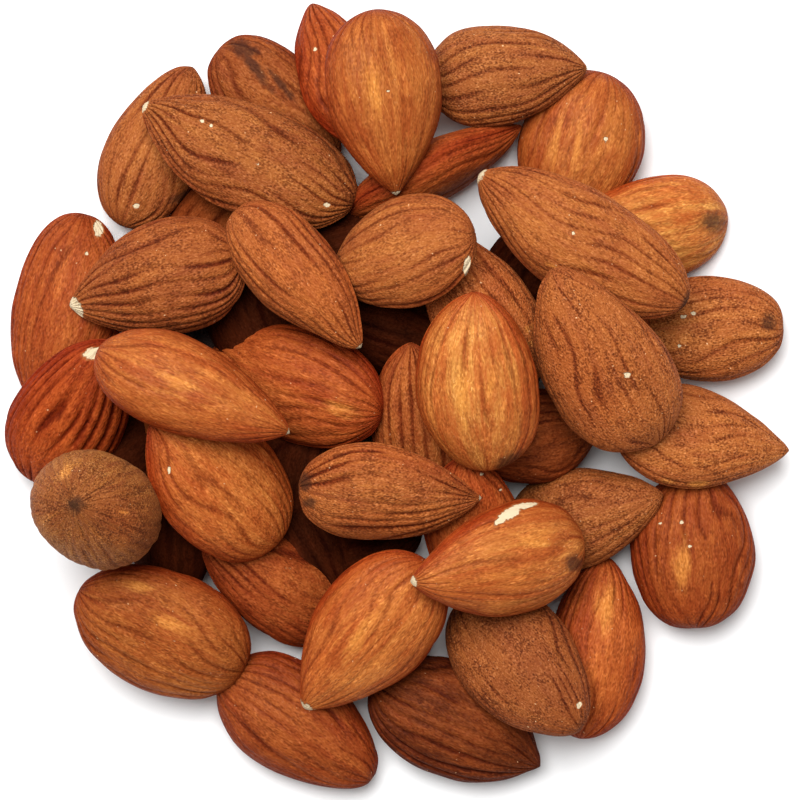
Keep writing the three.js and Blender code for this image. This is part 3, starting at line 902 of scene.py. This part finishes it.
def skin_material(name, kind):
    skin = Skin(name, kind)
    skin.add_streaks()
    skin.add_threads()
    skin.add_places()
    skin.add_grain()
    skin.add_marks()
    skin.finish()
    return skin.material


def core_shade_material():
    """Painted shade: the near-black inside of the heap, between and under the kernels, where shade falls."""
    g = Graph("core_painted_shade")
    place = g.add("ShaderNodeTexCoord", {}, "Object")
    patch = g.step(g.noise(place, *NOISES["core"]), *STEPS["core"])
    g.feed(g.surface.inputs["Base Color"], g.mix(patch, rgba(CORE_SHADE[0]), rgba(CORE_SHADE[1])))
    g.surface.inputs["Roughness"].default_value = 0.8
    height = g.noise(place, *NOISES["core bumps"])
    bump = g.add("ShaderNodeBump", {"Strength": 0.8, "Distance": MM, "Height": height})
    g.feed(g.surface.inputs["Normal"], bump)
    return g.material


def floor_material():
    g = Graph("floor_white")
    patch = g.noise(g.add("ShaderNodeTexCoord", {}, "Object"), *NOISES["floor"])
    g.feed(g.surface.inputs["Base Color"], g.mix(patch, rgba(FLOOR[0]), rgba(FLOOR[1])))
    g.surface.inputs["Roughness"].default_value = 0.9
    g.surface.inputs["Specular IOR Level"].default_value = 0.1
    return g.material


# ---- the pieces ----


CORE_MESH = (120, 40)  # sides, rings
CORE_LUMP = 0.25
CORE_LUMP_SIZE = 3.0
CORE_FOOT = 0.3  # how high over the floor the lumps begin
FLOOR_SIDE = 6.0  # m
FLOOR_DROP = 0.00005  # m below the kernels, so that none of them meets it


def add_kernels(lying, shift):
    """One piece for each kind of skin."""
    by_kind = {kind: [] for kind in KINDS}
    flat = [{"turn": attitude(one, (0, 0)), "at": np.array([one["x"], one["y"], 0.5 * one["thick"]])}
            for one in FILLERS]
    for number, (one, lies) in enumerate(zip(KERNELS + FILLERS, lying + flat)):
        points, attributes = kernel_mesh(one, lies, number)
        by_kind[one["kind"]].append((points + shift, attributes))
    pieces = []
    for kind, grids in by_kind.items():
        piece = joined_mesh(f"{kind}_kernels", grids)
        piece.data.materials.append(skin_material(f"{kind}_skin", KINDS[kind]))
        pieces.append(piece)
    return pieces


def add_core(shift):
    """The lumpy core that the lowest kernels lie on."""
    grid = mound_rings(*CORE_MESH)
    lumps = CORE_LUMP * noise(grid / CORE_LUMP_SIZE) * (grid[..., 2] > CORE_FOOT)
    grid[..., 2] = np.maximum(grid[..., 2], 0) + lumps
    foot, top = (np.repeat(ring.mean(axis=1, keepdims=True), grid.shape[1], axis=1)
                 for ring in (grid[:1], grid[-1:]))
    core = joined_mesh("heap_core", [(np.concatenate([foot, grid, top]) + shift, {})])
    core.data.materials.append(core_shade_material())
    return core


def add_floor():
    bpy.ops.mesh.primitive_plane_add(size=FLOOR_SIDE, location=(0, 0, -FLOOR_DROP))
    floor = bpy.context.object
    floor.name = "floor"
    floor.data.materials.append(floor_material())


# ---- light and camera ----


KEY_PLACE = (-0.14, 0.32, 0.74)  # m
KEY_SIZE = 0.66  # m
KEY_POWER = 10.9  # W
SKY_STRENGTH = 0.48
SENSOR_WIDTH = 36.0


def add_key():
    """A round softbox that points at the middle of the floor."""
    light = bpy.data.lights.new("key", "AREA")
    light.shape = "DISK"
    light.size = KEY_SIZE
    light.energy = KEY_POWER
    lamp = bpy.data.objects.new("key", light)
    lamp.location = KEY_PLACE
    bpy.context.scene.collection.objects.link(lamp)
    towards = -lamp.location
    lamp.rotation_euler = towards.to_track_quat("-Z", "Y").to_euler()


def add_sky():
    world = bpy.data.worlds.new("studio")
    world.use_nodes = True
    background = world.node_tree.nodes["Background"]
    background.inputs["Color"].default_value = (1, 1, 1, 1)
    background.inputs["Strength"].default_value = SKY_STRENGTH
    bpy.context.scene.world = world


def add_camera(shift):
    """Straight over the middle of what the picture shows, looking down."""
    camera = bpy.data.cameras.new("camera")
    camera.sensor_width = SENSOR_WIDTH
    camera.lens = SENSOR_WIDTH * EYE_HEIGHT / VIEW_WIDTH
    eye = bpy.data.objects.new("camera", camera)
    eye.location = (shift[0] * MM, shift[1] * MM, EYE_HEIGHT * MM)
    bpy.context.scene.collection.objects.link(eye)
    bpy.context.scene.camera = eye


# ---- the scene ----

lying = lay_all()
every_point = np.concatenate([one["points"] for one in lying])
own_middle = 0.5 * (every_point.min(axis=0) + every_point.max(axis=0))
solid_low, solid_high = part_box(HEAP)
solid_middle = np.array(0.5 * (solid_low + solid_high)) / MM
shift = (solid_middle - own_middle) * [1, 1, 0]

for piece in [*add_kernels(lying, shift), add_core(shift)]:
    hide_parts(HEAP)
    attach(piece, "root")

add_floor()
add_key()
add_sky()
add_camera(shift)
bpy.context.scene.view_settings.view_transform = "Standard"
